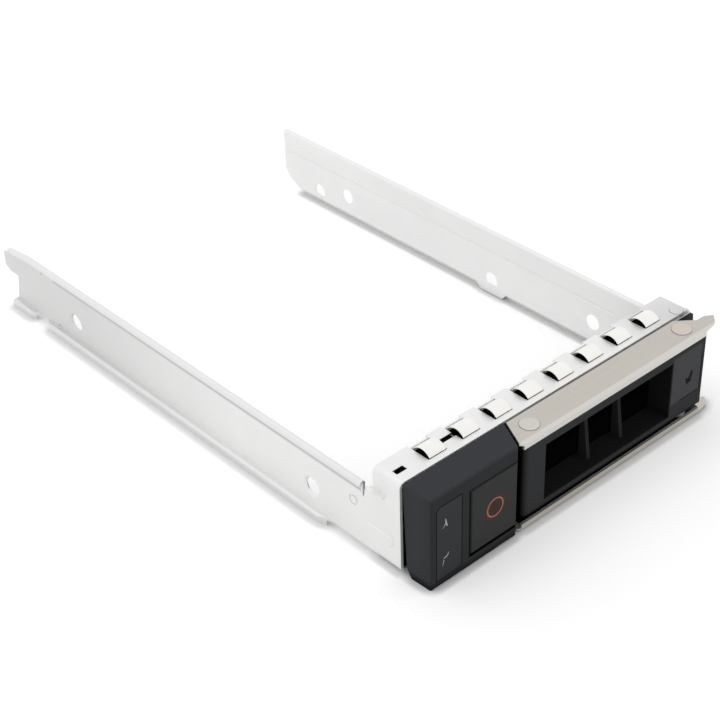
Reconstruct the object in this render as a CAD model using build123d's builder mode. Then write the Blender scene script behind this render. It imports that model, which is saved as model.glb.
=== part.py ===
"""Drive bay carrier: a folded sheet cage with two long rails, a moulded bezel and a swing-out latch handle.

Depths run back from the front face of the bezel, heights run up from its underside.
"""

import os
from math import sqrt

from build123d import *

os.makedirs("parts", exist_ok=True)

# Sheet metal of the carrier
sheet = 0.8
inner_bend = 0.1
outer_bend = inner_bend + sheet

# The drive that the rails hold, and its side screws
drive_width = 101.6
drive_clearance = 0.3
screw_spacing = 101.6
screw_hole = 4.8
screw_sink = 5.8
front_screw_depth = 40.5
screw_height = 8.3
low_screw_height = 5.0
low_screw_depths = (79.2, 155.4)
web_in = drive_width / 2 + drive_clearance
web_out = web_in + sheet

# Height of the bezel, which the cage and the handle follow
bezel_height = 27.0

# Cage at the front
cage_front = 9.1
cage_depth = 9.05
cage_rear = cage_front + cage_depth
cage_top = bezel_height + 0.2
cage_bottom = 0.6
cage_bend = 1.6
rib_place = (16.4, 8.0)
rib_size = (9.8, 3.0)
rib_rise = 0.3
notch_depth = 0.7

# Rails
rail_top = 21.0
flange_width = 1.9
hook_drop = 1.3
foot_height = 1.6
foot_width = 1.5
flange_start = 21.6
foot_start = 32.5
foot_taper = 4.5
ear_rear = 177.6
right_rear = ear_rear - 5.2
left_foot_rear = ear_rear - 3.4
ear_height = 11.2
ear_neck = 6.4
ear_corner = 2.4
ear_chamfer = 1.2
ear_waist = 4.7
ear_slope = 4.0
ear_drop = 4.2
lead_length = 10.0
lead_drop = 1.3
rear_chamfer = 6.4
rear_cut = 2.4
rear_heights = (7.1, 4.4)
crease_height = 14.3
crease_width = 0.9
crease_depth = 0.3
crease_start = 33.0
rail_reach = web_out + foot_width

# Small features of the rails: relief of the left foot, two holes, two pressed marks, a screw tab
relief_outer = (24.6, 11.6)
relief_inner = (20.0, 15.6)
small_hole = (26.4, 2.9)
small_hole_size = 1.4
button_mark = (19.0, 18.8)
button_mark_size = 3.0
clinch_mark = (25.2, 13.4)
clinch_mark_size = 3.0
clinch_mark_line = 0.4
mark_rise = 0.3
screw_tab = 12.0
screw_tab_bottom = 0.4

# Slot that ends the left flange, and the tab bent out in front of each flange
slot_width = 0.6
slot_bottom = 16.6
tab_height = 20.0
tab_reach = 1.4
tab_front = 14.4
tab_rear = 19.8
tab_round = 1.6

# Openings in the top of the cage and the spring fingers that rise through them
window_count = 8
window_width = 6.0
window_border = (10.2, 9.0)
first_window = window_border[0] - web_in
window_pitch = (2 * web_in - window_width - sum(window_border)) / (window_count - 1)
window_front = 10.95
window_depth = 6.0
side_slot = (4.8, 1.5)
finger_width = 5.3
finger_rise = 1.5
finger_crest = 3.4
strip_sheet = 0.2
strip_border = (1.2, 0.8)
snap_hole = (3.7 - web_out, 12.95)
snap_hole_size = (3.2, 1.7)
snap_nub = (1.2, 1.0)
clinch_place = (web_out - 3.5, 10.9)
clinch_size = 3.8

# Moulded front frame inside the cage
frame_fit = 0.15
frame_wall = 1.5
frame_front = cage_front + 0.4
frame_rear = cage_rear - 0.3
duct_left = 34.1 - web_in
vent_pitch = 4.2
vent_width = 2.4

# Bezel block
bezel_side_gap = 0.3
bezel_left = bezel_side_gap - web_in
bezel_depth = cage_front - 0.35
bezel_lean = 0.4
bezel_wall = 1.8
bezel_right_front = bezel_left + 28.2
bezel_right_rear = bezel_left + 32.4
bezel_round = 0.7
bulkhead_gap = 0.3
bulkhead_front = bezel_depth + bulkhead_gap
bulkhead = 1.4

# Status window and light pipes
window_place = (bezel_left + 5.7, 12.9)
window_size = (8.0, 21.4)
window_thick = 1.0
groove = 0.25
pipe_size = 2.4
pipe_fit = 0.15
pipe_x = bezel_left + 4.5
pipe_heights = (18.0, 7.7)

# Release button, its ring and the latch that it pushes aside
button_left = bezel_left + 12.9
button_bottom = 3.6
button_height = 19.0
button_gap = 0.5
button_bevel = 0.3
button_wall = 1.6
button_skirt = 2.8
button_travel = 1.5
ring_place = (bezel_left + 20.8, 13.4)
ring_size = 6.9
ring_line = 0.4
ring_deep = 0.4
running = 0.3
latch_front = 4.9
latch_thick = 2.7
latch_height = 7.4
latch_middle = 13.5
latch_left = bezel_left + 10.2
latch_tip = bezel_left + 32.2
stem_left = bezel_left + 18.8
stem_right = bezel_left + 26.3
stem_rear = 6.9
stem_height = 3.0
partition = 1.4
partition_x = bezel_left + 11.1

# Springs
seat_x = pipe_x + pipe_size / 2 + 1.0
seat_thick = 1.0
spring_radius = 1.3
spring_wire = 0.5
wire_sides = 4
button_spring_turns = 3
latch_spring_turns = 2
button_spring_height = 7.0

# Swing-out handle
handle_gap = 0.75
plate = 0.8
handle_rear = cage_front - 0.55
handle_bottom = 0.2
handle_top = bezel_height
lip = 2.0
lip_end = web_out - 4.6
lip_corner = 0.9
claw_reach = web_out + 1.9
claw_depth = 3.0
claw_width = 2.3
claw_root = 6.3
body_front = 1.4
body_right = web_out - 2.6
body_round = 2.4
opening_left = bezel_right_rear + 7.1
opening_right = web_out - 15.4
opening_bottom = 3.8
opening_top = 20.9
brace_places = (opening_left + 20.3, opening_left + 32.8)
brace = 1.2
brace_low = 4.8
brace_high = 7.2
panel_border = 1.0
panel_bottom = 7.3
panel_size = (7.8, 11.7)
panel_line = 0.3

# Pivot of the handle
pivot_x = web_out - 9.3
pivot_y = 4.5
pin_size = 3.0
pin_head = 5.2
pin_proud = 0.25
pin_fit = 0.1
head_thick = 0.25
head_proud = 0.12
lug_radius = 3.0
lug_corner_depth = 8.0
lug_drop = 0.3
rivet_place = (bezel_right_rear + 4.1, 4.3)
rivet_size = 2.6
rivet_head = 5.0
torsion_radius = 2.05
torsion_wire = 0.5
torsion_turns = 2

# The origin is the middle of the bounding box, on the surface that the carrier lies on
mid_x = (claw_reach - rail_reach) / 2
mid_y = ear_rear / 2
floor = Plane(origin=(-mid_x, -mid_y, 0))
face = Plane(origin=(-mid_x, -mid_y, 0), x_dir=(1, 0, 0), z_dir=(0, -1, 0))
side = Plane(origin=(-mid_x, -mid_y, 0), x_dir=(0, 1, 0), z_dir=(1, 0, 0))


def bezel_flank(depth):
    """Where the slanting right side of the bezel block lies at a depth."""
    return bezel_right_front + (bezel_right_rear - bezel_right_front) * depth / bezel_depth


def handle_flank(depth):
    """The left end of the handle runs beside the bezel block, one gap away."""
    return bezel_flank(depth) + handle_gap


def window_left(index):
    """Left edge of one opening in the top of the cage."""
    return first_window + index * window_pitch


def rail_blank(hand, front, rear):
    """A length of rail: foot, web, top flange and its hook, folded from one thickness of sheet."""
    outline = [
        (web_in + foot_width, 0),
        (web_in + foot_width, foot_height),
        (web_in, foot_height),
        (web_in, rail_top),
        (web_in + flange_width, rail_top),
        (web_in + flange_width, rail_top - hook_drop),
    ]
    with BuildPart() as blank:
        with BuildSketch(face.offset(-front)):
            with BuildLine():
                FilletPolyline(
                    [(hand * x, z) for x, z in outline],
                    radius=[inner_bend, outer_bend, outer_bend, outer_bend],
                )
                offset(amount=sheet, side=Side.RIGHT if hand > 0 else Side.LEFT)
            make_face()
        extrude(amount=front - rear)
    return blank.part


def coil(start, direction, radius, wire, turns, length):
    """A coil of wire that grows from its start along a direction."""
    with BuildPart() as spring:
        with BuildLine():
            path = Helix(
                pitch=length / turns, height=length, radius=radius, center=start, direction=direction
            )
        with BuildSketch(Plane(origin=path @ 0, z_dir=path % 0)):
            RegularPolygon(wire / 2, wire_sides)
        sweep(path=path)
    return spring.part


# Left rail: two screw holes and an ear at the rear
lead_front = ear_rear - ear_slope - lead_length
with BuildPart() as left_rail:
    add(rail_blank(-1, cage_rear - sheet, ear_rear))
    with BuildSketch(side.offset(-web_in + sheet)):
        with BuildLine():
            Polyline(
                (ear_rear - ear_neck, ear_height),
                (ear_rear - ear_corner, ear_height),
                (ear_rear, ear_height + ear_chamfer),
                (ear_rear + sheet, ear_height + ear_chamfer),
                (ear_rear + sheet, -sheet),
                (left_foot_rear, -sheet),
                (left_foot_rear, foot_height + sheet),
                (ear_rear - ear_waist, foot_height + 2 * sheet),
                close=True,
            )
        make_face()
    extrude(amount=-2 * foot_width - 2 * sheet, mode=Mode.SUBTRACT)

    # The last stretch of the top flange leads down to the ear
    with BuildSketch(side.offset(-web_in + sheet)):
        with BuildLine():
            Polyline(
                (lead_front, rail_top - hook_drop - sheet),
                (lead_front, rail_top + 2 * sheet),
                (ear_rear + sheet, rail_top + 2 * sheet),
                (ear_rear + sheet, rail_top - ear_drop),
                (ear_rear, rail_top - ear_drop),
                (ear_rear - ear_slope, rail_top - hook_drop - lead_drop),
                close=True,
            )
        make_face()
    extrude(amount=-2 * foot_width - 2 * sheet, mode=Mode.SUBTRACT)
    with BuildSketch(face.offset(-lead_front)):
        with BuildLine():
            FilletPolyline(
                (-web_in, rail_top - hook_drop - sheet - lead_drop / 2),
                (-web_in, rail_top),
                (-web_in - flange_width, rail_top),
                (-web_in - flange_width, rail_top - hook_drop),
                radius=[outer_bend, outer_bend],
            )
            offset(amount=sheet, side=Side.LEFT)
        make_face()
    extrude(amount=sqrt(lead_length**2 + lead_drop**2), dir=(0, lead_length, -lead_drop))

    # The foot is relieved ahead of its rear end
    with BuildSketch(floor.offset(-sheet)):
        with BuildLine():
            Polyline(
                (-rail_reach - sheet, ear_rear - relief_outer[0]),
                (-web_out, ear_rear - relief_inner[0]),
                (-web_out, ear_rear - relief_inner[1]),
                (-rail_reach - sheet, ear_rear - relief_outer[1]),
                close=True,
            )
        make_face()
    extrude(amount=foot_height + 3 * sheet, mode=Mode.SUBTRACT)

    # A small hole, a pressed button under the flange and a clinch mark near the cage
    with BuildSketch(side.offset(-web_in + sheet)):
        with Locations((ear_rear - small_hole[0], small_hole[1])):
            Circle(small_hole_size / 2)
    extrude(amount=-3 * sheet, mode=Mode.SUBTRACT)
    with BuildSketch(side.offset(-web_out)):
        with Locations((ear_rear - button_mark[0], button_mark[1])):
            Circle(button_mark_size / 2)
    extrude(amount=-mark_rise)
    with BuildSketch(side.offset(-web_out)):
        with Locations(clinch_mark):
            Circle(clinch_mark_size / 2)
            Circle(clinch_mark_size / 2 - clinch_mark_line, mode=Mode.SUBTRACT)
    extrude(amount=mark_rise, mode=Mode.SUBTRACT)

# Right rail: a long crease in its web, two more screw holes and a plain rear end
with BuildPart() as right_rail:
    add(rail_blank(1, cage_rear - sheet, right_rear))
    with BuildSketch(side.offset(web_in - sheet)):
        with BuildLine():
            Polyline(
                (right_rear + sheet, rear_heights[0]),
                (right_rear, rear_heights[0]),
                (right_rear - rear_cut, rear_heights[1]),
                (right_rear - rear_chamfer, foot_height + sheet),
                (right_rear - rear_chamfer, -sheet),
                (right_rear + sheet, -sheet),
                close=True,
            )
        make_face()
    extrude(amount=2 * foot_width + 2 * sheet, mode=Mode.SUBTRACT)
    with BuildSketch(face.offset(-crease_start)):
        with BuildLine():
            Polyline(
                (web_in - sheet, crease_height + crease_width / 2),
                (web_in, crease_height + crease_width / 2),
                (web_in + crease_depth, crease_height),
                (web_in, crease_height - crease_width / 2),
                (web_in - sheet, crease_height - crease_width / 2),
                close=True,
            )
        make_face()
    extrude(amount=crease_start - right_rear, mode=Mode.SUBTRACT)

    # The web reaches lower round the front one of its two low screw holes
    with BuildSketch(side.offset(web_in)):
        with BuildLine():
            Polyline(
                (low_screw_depths[0] - screw_tab / 2, foot_height + sheet),
                (low_screw_depths[0] + screw_tab / 2, foot_height + sheet),
                (low_screw_depths[0] + screw_tab / 2 - foot_height, screw_tab_bottom),
                (low_screw_depths[0] - screw_tab / 2 + foot_height, screw_tab_bottom),
                close=True,
            )
        make_face()
    extrude(amount=sheet)

# Carrier frame: the cage, its pivot lugs and both rails in one folded sheet
with BuildPart() as carrier_frame:
    with BuildSketch(face.offset(-cage_front)):
        with Locations((0, (cage_bottom + cage_top) / 2)):
            RectangleRounded(2 * web_out, cage_top - cage_bottom, cage_bend)
            RectangleRounded(
                2 * web_in, cage_top - cage_bottom - 2 * sheet, cage_bend - sheet, mode=Mode.SUBTRACT
            )
    extrude(amount=-cage_depth)
    add(left_rail.part)
    add(right_rail.part)

    # The flanges start behind the cage, the foot with a taper
    for hand in (-1, 1):
        with BuildSketch(side.offset(hand * web_out)):
            with BuildLine():
                Polyline(
                    (cage_front, foot_height + sheet + 0.2),
                    (cage_front, -sheet),
                    (foot_start, -sheet),
                    (foot_start, foot_height + sheet + 0.2),
                    close=True,
                )
            make_face()
            with BuildLine():
                Polyline(
                    (cage_front, rail_top + 0.2),
                    (cage_front, rail_top - 2),
                    (flange_start, rail_top - 2),
                    (flange_start, rail_top + 0.2),
                    close=True,
                )
            make_face()
        extrude(amount=hand * 2 * foot_width, mode=Mode.SUBTRACT)
        with BuildSketch(floor):
            with BuildLine():
                Polyline(
                    (hand * web_out, foot_start),
                    (hand * (rail_reach + sheet), foot_start),
                    (hand * (rail_reach + sheet), foot_start + foot_taper + sheet),
                    (hand * rail_reach, foot_start + foot_taper),
                    close=True,
                )
            make_face()
        extrude(amount=foot_height + sheet + 0.2, mode=Mode.SUBTRACT)

        # A small bent tab stands in front of the flange
        with BuildSketch(floor.offset(tab_height)):
            with BuildLine():
                Polyline(
                    (hand * (web_out - sheet / 2), tab_front),
                    (hand * (web_out + tab_reach / 2), tab_front),
                    (hand * (web_out + tab_reach), tab_front + tab_round),
                    (hand * (web_out + tab_reach), tab_rear - tab_round),
                    (hand * (web_out + tab_reach / 2), tab_rear),
                    (hand * (web_out - sheet / 2), tab_rear),
                    close=True,
                )
            make_face()
        extrude(amount=sheet)

        # A pressed rib stiffens each side of the cage
        with BuildSketch(side.offset(hand * web_out)):
            with Locations(rib_place):
                SlotOverall(*rib_size)
        extrude(amount=hand * rib_rise, taper=35)

    # A relief slot runs from the end of the left flange into the web
    with BuildSketch(side.offset(sheet - web_in)):
        with BuildLine():
            Polyline(
                (cage_rear + sheet, rail_top + sheet),
                (flange_start, rail_top + sheet),
                (flange_start + slot_width / 2, slot_bottom),
                (flange_start - slot_width / 2, slot_bottom),
                (flange_start - slot_width, tab_height - sheet),
                (cage_rear + 2 * sheet, tab_height - sheet / 2),
                close=True,
            )
        make_face()
    extrude(amount=-2 * sheet - 2 * inner_bend, mode=Mode.SUBTRACT)

    # Pivot lugs, set one sheet inside the handle plates so that the handle can swing over them
    top_lug = handle_top - plate - lug_drop - sheet
    low_lug = handle_bottom + plate + lug_drop
    for lug_base, riser_base, riser_height in (
        (top_lug, top_lug, cage_top - top_lug),
        (low_lug, cage_bottom, low_lug + sheet - cage_bottom),
    ):
        with BuildSketch(floor.offset(lug_base)):
            with Locations((pivot_x, pivot_y)):
                Circle(lug_radius)
            with BuildLine():
                Polyline(
                    (pivot_x - lug_radius, pivot_y),
                    (pivot_x, pivot_y - lug_radius),
                    (pivot_x + lug_radius * 0.55, pivot_y - lug_radius * 0.83),
                    (web_out, lug_corner_depth),
                    (web_out, cage_front + sheet),
                    (pivot_x - lug_radius, cage_front + sheet),
                    close=True,
                )
            make_face()
            with Locations((pivot_x, pivot_y)):
                Circle(pin_size / 2 + pin_fit, mode=Mode.SUBTRACT)
        extrude(amount=sheet)
        with BuildSketch(floor.offset(riser_base)):
            with Locations((pivot_x - lug_radius, cage_front)):
                Rectangle(
                    web_out - cage_bend / 2 - pivot_x + lug_radius, sheet, align=(Align.MIN, Align.MIN)
                )
        extrude(amount=riser_height)

    # Openings in the top: windows for the fingers, a slot beside the second, a hole for the snap nub
    with BuildSketch(floor.offset(cage_top - 1.5 * sheet)):
        for index in range(window_count):
            with Locations((window_left(index), window_front)):
                Rectangle(window_width, window_depth, align=(Align.MIN, Align.MIN))
        with Locations((window_left(1), window_front + window_depth / 2)):
            Rectangle(*side_slot, align=(Align.MAX, Align.CENTER))
        with Locations(snap_hole):
            Rectangle(*snap_hole_size)
        with Locations(clinch_place):
            Circle(clinch_size / 2)
    extrude(amount=2 * sheet, mode=Mode.SUBTRACT)

    # The rear edge steps forward behind each window
    with BuildSketch(floor.offset(cage_top - 1.5 * sheet)):
        for index in range(window_count):
            with Locations((window_left(index), cage_rear - notch_depth)):
                Rectangle(window_width, notch_depth + sheet, align=(Align.MIN, Align.MIN))
    extrude(amount=2 * sheet, mode=Mode.SUBTRACT)

    # Screw holes, countersunk from outside
    screw_places = {
        -1: [(front_screw_depth, screw_height), (front_screw_depth + screw_spacing, screw_height)],
        1: [(front_screw_depth, screw_height), (front_screw_depth + screw_spacing, screw_height)]
        + [(depth, low_screw_height) for depth in low_screw_depths],
    }
    for hand in (-1, 1):
        with BuildSketch(side.offset(hand * web_out)):
            with Locations(*screw_places[hand]):
                Circle(screw_sink / 2)
        extrude(amount=-hand * (screw_sink - screw_hole) / 2, taper=45, mode=Mode.SUBTRACT)
        with BuildSketch(side.offset(hand * (web_in - sheet))):
            with Locations(*screw_places[hand]):
                Circle(screw_hole / 2)
        extrude(amount=hand * 2.5 * sheet, mode=Mode.SUBTRACT)
carrier_frame.part.label = "carrier_frame"

# Spring fingers on one thin strip under the top of the cage
strip_top = cage_top - sheet
with BuildPart() as spring_strip:
    with BuildSketch(floor.offset(strip_top - strip_sheet)):
        with Locations((window_left(0) - strip_border[0], window_front - strip_border[1])):
            Rectangle(
                (window_count - 1) * window_pitch + window_width + 2 * strip_border[0],
                window_depth + 2 * strip_border[1],
                align=(Align.MIN, Align.MIN),
            )
        for index in range(window_count):
            with Locations((window_left(index) + strip_sheet, window_front)):
                Rectangle(
                    window_width - 2 * strip_sheet,
                    window_depth - 2 * strip_sheet,
                    align=(Align.MIN, Align.MIN),
                    mode=Mode.SUBTRACT,
                )
    extrude(amount=strip_sheet)
    for index in range(window_count):
        finger_left = window_left(index) + (window_width - finger_width) / 2
        finger_rear = window_front + window_depth
        with BuildSketch(side.offset(finger_left)):
            with BuildLine():
                ThreePointArc(
                    (finger_rear - strip_sheet, strip_top - strip_sheet),
                    (window_front + finger_crest, cage_top + finger_rise - strip_sheet),
                    (window_front + strip_sheet, cage_top + strip_sheet / 2),
                )
                offset(amount=strip_sheet, side=Side.RIGHT)
            make_face()
        extrude(amount=finger_width)
spring_strip.part.label = "spring_strip"

# Moulded front frame: a closed bulkhead behind the bezel and an open duct behind the handle
frame_top = strip_top - strip_sheet - frame_fit
frame_bottom = cage_bottom + sheet + frame_fit
frame_half = web_in - frame_fit
with BuildPart() as front_frame:
    with BuildSketch(face.offset(-frame_front)):
        with Locations((0, (frame_top + frame_bottom) / 2)):
            RectangleRounded(2 * frame_half, frame_top - frame_bottom, cage_bend - sheet)
    extrude(amount=frame_front - frame_rear)
    with BuildSketch(face.offset(-frame_front)):
        with Locations((duct_left + frame_wall, frame_bottom + frame_wall)):
            Rectangle(
                frame_half - 2 * frame_wall - duct_left,
                frame_top - frame_bottom - 2 * frame_wall,
                align=(Align.MIN, Align.MIN),
            )
    extrude(amount=frame_front - frame_rear + frame_wall, mode=Mode.SUBTRACT)
    with BuildSketch(face.offset(-frame_rear)):
        with Locations((-frame_half + frame_wall, frame_bottom + frame_wall)):
            Rectangle(
                frame_half - frame_wall + duct_left,
                frame_top - frame_bottom - 2 * frame_wall,
                align=(Align.MIN, Align.MIN),
            )
    extrude(amount=frame_rear - bulkhead_front - bulkhead, mode=Mode.SUBTRACT)
    with BuildSketch(face.offset(-bulkhead_front)):
        with Locations((-frame_half + 0.6, frame_bottom + 0.6)):
            Rectangle(
                frame_half + bezel_flank(bezel_depth) - 1.2,
                frame_top - frame_bottom - 1.2,
                align=(Align.MIN, Align.MIN),
            )
    extrude(amount=bulkhead_front - frame_front - 0.1)

    # Upright vents through the rear wall of the duct, with a bar across the middle
    vent_span = frame_half - frame_wall - (duct_left + frame_wall)
    vent_count = int(vent_span / vent_pitch)
    vent_middle = duct_left + frame_wall + vent_span / 2
    vent_height = (frame_top - frame_bottom - 2 * frame_wall - 1.8) / 2
    with BuildSketch(face.offset(-frame_rear)):
        with Locations((vent_middle, (frame_top + frame_bottom) / 2)):
            with GridLocations(vent_pitch, vent_height + 0.9, vent_count, 2):
                Rectangle(vent_width, vent_height - 0.9)
    extrude(amount=2 * frame_wall, mode=Mode.SUBTRACT)

    # Room for the pivot lugs, the spring seat and the light pipes
    with BuildSketch(face.offset(-frame_front)):
        for lug_edge, height in ((frame_top, frame_top - top_lug + running), (frame_bottom, -low_lug)):
            with Locations((pivot_x - lug_radius - running, lug_edge - height / 2)):
                Rectangle(frame_half - pivot_x + lug_radius + 1, abs(height), align=(Align.MIN, Align.CENTER))
    extrude(amount=-sheet - running, mode=Mode.SUBTRACT)
    with BuildSketch(face.offset(-bulkhead_front)):
        with Locations((ring_place[0], button_spring_height)):
            Circle(spring_radius + spring_wire + 0.1)
    extrude(amount=-0.5, mode=Mode.SUBTRACT)
    with BuildSketch(face.offset(-bulkhead_front)):
        with Locations(*[(pipe_x, height) for height in pipe_heights]):
            Circle(pipe_size / 2 + pipe_fit)
    extrude(amount=-cage_depth, mode=Mode.SUBTRACT)

    # Snap nub that stands in the hole in the cage
    with BuildSketch(floor.offset(frame_top - frame_wall)):
        with Locations((snap_hole[0] + snap_hole_size[0] / 2 - running, snap_hole[1])):
            Rectangle(*snap_nub, align=(Align.MAX, Align.CENTER))
    extrude(amount=cage_top - frame_top + frame_wall - sheet / 2)
    with BuildSketch(floor.offset(frame_top)):
        with Locations(clinch_place):
            Circle(clinch_size / 4 + pin_fit)
    extrude(amount=-frame_wall, mode=Mode.SUBTRACT)
front_frame.part.label = "front_frame"

# Rivet that holds the cage to the frame beside the pivot
with BuildPart() as frame_rivet:
    with BuildSketch(floor.offset(strip_top)):
        with Locations(clinch_place):
            Circle(clinch_size / 2 - pin_fit)
    extrude(amount=sheet + 0.1)
    with BuildSketch(floor.offset(frame_top - frame_wall)):
        with Locations(clinch_place):
            Circle(clinch_size / 4)
    extrude(amount=strip_top - frame_top + frame_wall)
frame_rivet.part.label = "frame_rivet"

# Bezel block: a thin shell, open at the back, with its right side slanting beside the handle
with BuildPart() as bezel_housing:
    with BuildSketch(floor):
        with BuildLine():
            Polyline(
                (bezel_left, 0),
                (bezel_flank(0), 0),
                (bezel_flank(bezel_depth), bezel_depth),
                (bezel_left - bezel_lean, bezel_depth),
                close=True,
            )
        make_face()
    extrude(amount=bezel_height)
    front_edges = bezel_housing.faces().sort_by(Axis.Y)[0].edges()
    fillet(front_edges, bezel_round)
    with BuildSketch(floor.offset(bezel_wall)):
        with BuildLine():
            Polyline(
                (bezel_left + bezel_wall, bezel_wall),
                (bezel_flank(bezel_wall) - bezel_wall, bezel_wall),
                (bezel_flank(bezel_depth + 1) - bezel_wall, bezel_depth + 1),
                (bezel_left + bezel_wall - bezel_lean, bezel_depth + 1),
                close=True,
            )
        make_face()
    extrude(amount=bezel_height - 2 * bezel_wall, mode=Mode.SUBTRACT)

    # Partition between the window and the button, and two guides for the latch
    with BuildSketch(floor.offset(bezel_wall / 2)):
        with Locations((partition_x, bezel_wall / 2)):
            Rectangle(partition, bezel_depth - bezel_wall / 2, align=(Align.CENTER, Align.MIN))
    extrude(amount=bezel_height - bezel_wall)
    guide_front = latch_front - 0.2
    for guide_base in (latch_middle - latch_height / 2 - running - 0.8, latch_middle + latch_height / 2 + running):
        with BuildSketch(floor.offset(guide_base)):
            with BuildLine():
                Polyline(
                    (partition_x, guide_front),
                    (bezel_flank(guide_front) - bezel_wall / 2, guide_front),
                    (bezel_flank(bezel_depth) - bezel_wall / 2, bezel_depth),
                    (partition_x, bezel_depth),
                    close=True,
                )
            make_face()
        extrude(amount=0.8)

    # Seat of the latch spring, between the light pipes and the partition
    with BuildSketch(floor.offset(bezel_wall / 2)):
        with Locations((seat_x, latch_front)):
            Rectangle(seat_thick, bezel_depth - latch_front, align=(Align.CENTER, Align.MIN))
    extrude(amount=latch_middle + spring_radius + 0.6 - bezel_wall / 2)

    # Hole for the button, open towards the handle, and slots for the latch
    with BuildSketch(face.offset(1)):
        with Locations((button_left - button_gap, button_bottom - button_gap)):
            Rectangle(
                bezel_right_rear - button_left + 2,
                button_height + 2 * button_gap,
                align=(Align.MIN, Align.MIN),
            )
    extrude(amount=-guide_front - 1, mode=Mode.SUBTRACT)
    with BuildSketch(face.offset(-latch_front + running)):
        with Locations((partition_x - partition, latch_middle)):
            Rectangle(
                bezel_right_rear - partition_x + 2 * partition,
                latch_height + 2 * running,
                align=(Align.MIN, Align.CENTER),
            )
    extrude(amount=latch_front - running - bezel_depth - 1, mode=Mode.SUBTRACT)

    # Shallow pocket for the status window, with a hole for each light pipe
    with BuildSketch(face):
        with Locations(window_place):
            window_pocket = Rectangle(window_size[0] + 2 * groove, window_size[1] + 2 * groove)
        fillet(window_pocket.vertices().group_by(Axis.X)[0].sort_by(Axis.Z)[-1], 1.4)
        chamfer(window_pocket.vertices().group_by(Axis.X)[-1].sort_by(Axis.Z)[0], 2.2)
    extrude(amount=-window_thick, mode=Mode.SUBTRACT)
    with BuildSketch(face):
        with Locations(*[(pipe_x, height) for height in pipe_heights]):
            Circle(pipe_size / 2 + pipe_fit)
    extrude(amount=-bezel_wall - 1, mode=Mode.SUBTRACT)

    # The left side stands away from the cage towards the bottom
    with BuildSketch(side.offset(bezel_left - 1)):
        with BuildLine():
            Polyline(
                (bezel_depth + 1, bezel_height - 2),
                (bezel_depth, bezel_height - 2),
                (bezel_depth - 0.9, 2.4),
                (bezel_depth - 2.4, 0),
                (bezel_depth + 1, 0),
                close=True,
            )
        make_face()
    extrude(amount=bezel_wall + 1.4, mode=Mode.SUBTRACT)
bezel_housing.part.label = "bezel_housing"

# Status window
with BuildPart() as status_window:
    with BuildSketch(face):
        with Locations(window_place):
            pane = Rectangle(*window_size)
        fillet(pane.vertices().group_by(Axis.X)[0].sort_by(Axis.Z)[-1], 1.2)
        chamfer(pane.vertices().group_by(Axis.X)[-1].sort_by(Axis.Z)[0], 2.0)
    extrude(amount=-window_thick)
status_window.part.label = "status_window"

# Light pipes, from behind the window to the back of the frame
light_pipes = []
for name, height in zip(("light_pipe_upper", "light_pipe_lower"), pipe_heights):
    with BuildPart() as light_pipe:
        with BuildSketch(face.offset(-window_thick - 0.1)):
            with Locations((pipe_x, height)):
                Circle(pipe_size / 2)
        extrude(amount=window_thick + 0.1 - cage_rear)
    light_pipe.part.label = name
    light_pipes.append(light_pipe.part)

# Release button: a skirted cap with a wedge that moves the latch aside, and a post for its spring
with BuildPart() as release_button:
    with BuildSketch(floor.offset(button_bottom)):
        with BuildLine():
            Polyline(
                (button_left, 0),
                (bezel_flank(0), 0),
                (bezel_flank(button_skirt), button_skirt),
                (button_left, button_skirt),
                close=True,
            )
        make_face()
    extrude(amount=button_height)
    chamfer(release_button.faces().sort_by(Axis.Y)[0].edges(), button_bevel)
    with BuildSketch(floor.offset(button_bottom + button_wall)):
        with BuildLine():
            Polyline(
                (button_left + button_wall, button_wall),
                (bezel_flank(button_wall) - button_wall, button_wall),
                (bezel_flank(button_skirt + 1) - button_wall, button_skirt + 1),
                (button_left + button_wall, button_skirt + 1),
                close=True,
            )
        make_face()
    extrude(amount=button_height - 2 * button_wall, mode=Mode.SUBTRACT)
    with BuildSketch(floor.offset(latch_middle - stem_height / 2)):
        with BuildLine():
            Polyline(
                (stem_left, button_wall - 0.2),
                (stem_right, button_wall - 0.2),
                (stem_right, stem_rear),
                (stem_left + stem_rear - button_wall - 0.8, stem_rear),
                (stem_left, button_wall + 0.8),
                close=True,
            )
        make_face()
    extrude(amount=stem_height)
    with BuildSketch(face.offset(-button_wall + 0.2)):
        with Locations((ring_place[0], button_spring_height)):
            Circle(spring_radius - spring_wire / 2 - 0.25)
    extrude(amount=-3.4)
    with BuildSketch(face):
        with Locations(ring_place):
            Circle(ring_size / 2)
            Circle(ring_size / 2 - ring_line, mode=Mode.SUBTRACT)
    extrude(amount=-ring_deep, mode=Mode.SUBTRACT)
release_button.part.label = "release_button"

# Ring inlaid in the face of the button
with BuildPart() as button_ring:
    with BuildSketch(face):
        with Locations(ring_place):
            Circle(ring_size / 2)
            Circle(ring_size / 2 - ring_line, mode=Mode.SUBTRACT)
    extrude(amount=-ring_deep)
button_ring.part.label = "button_ring"

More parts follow.
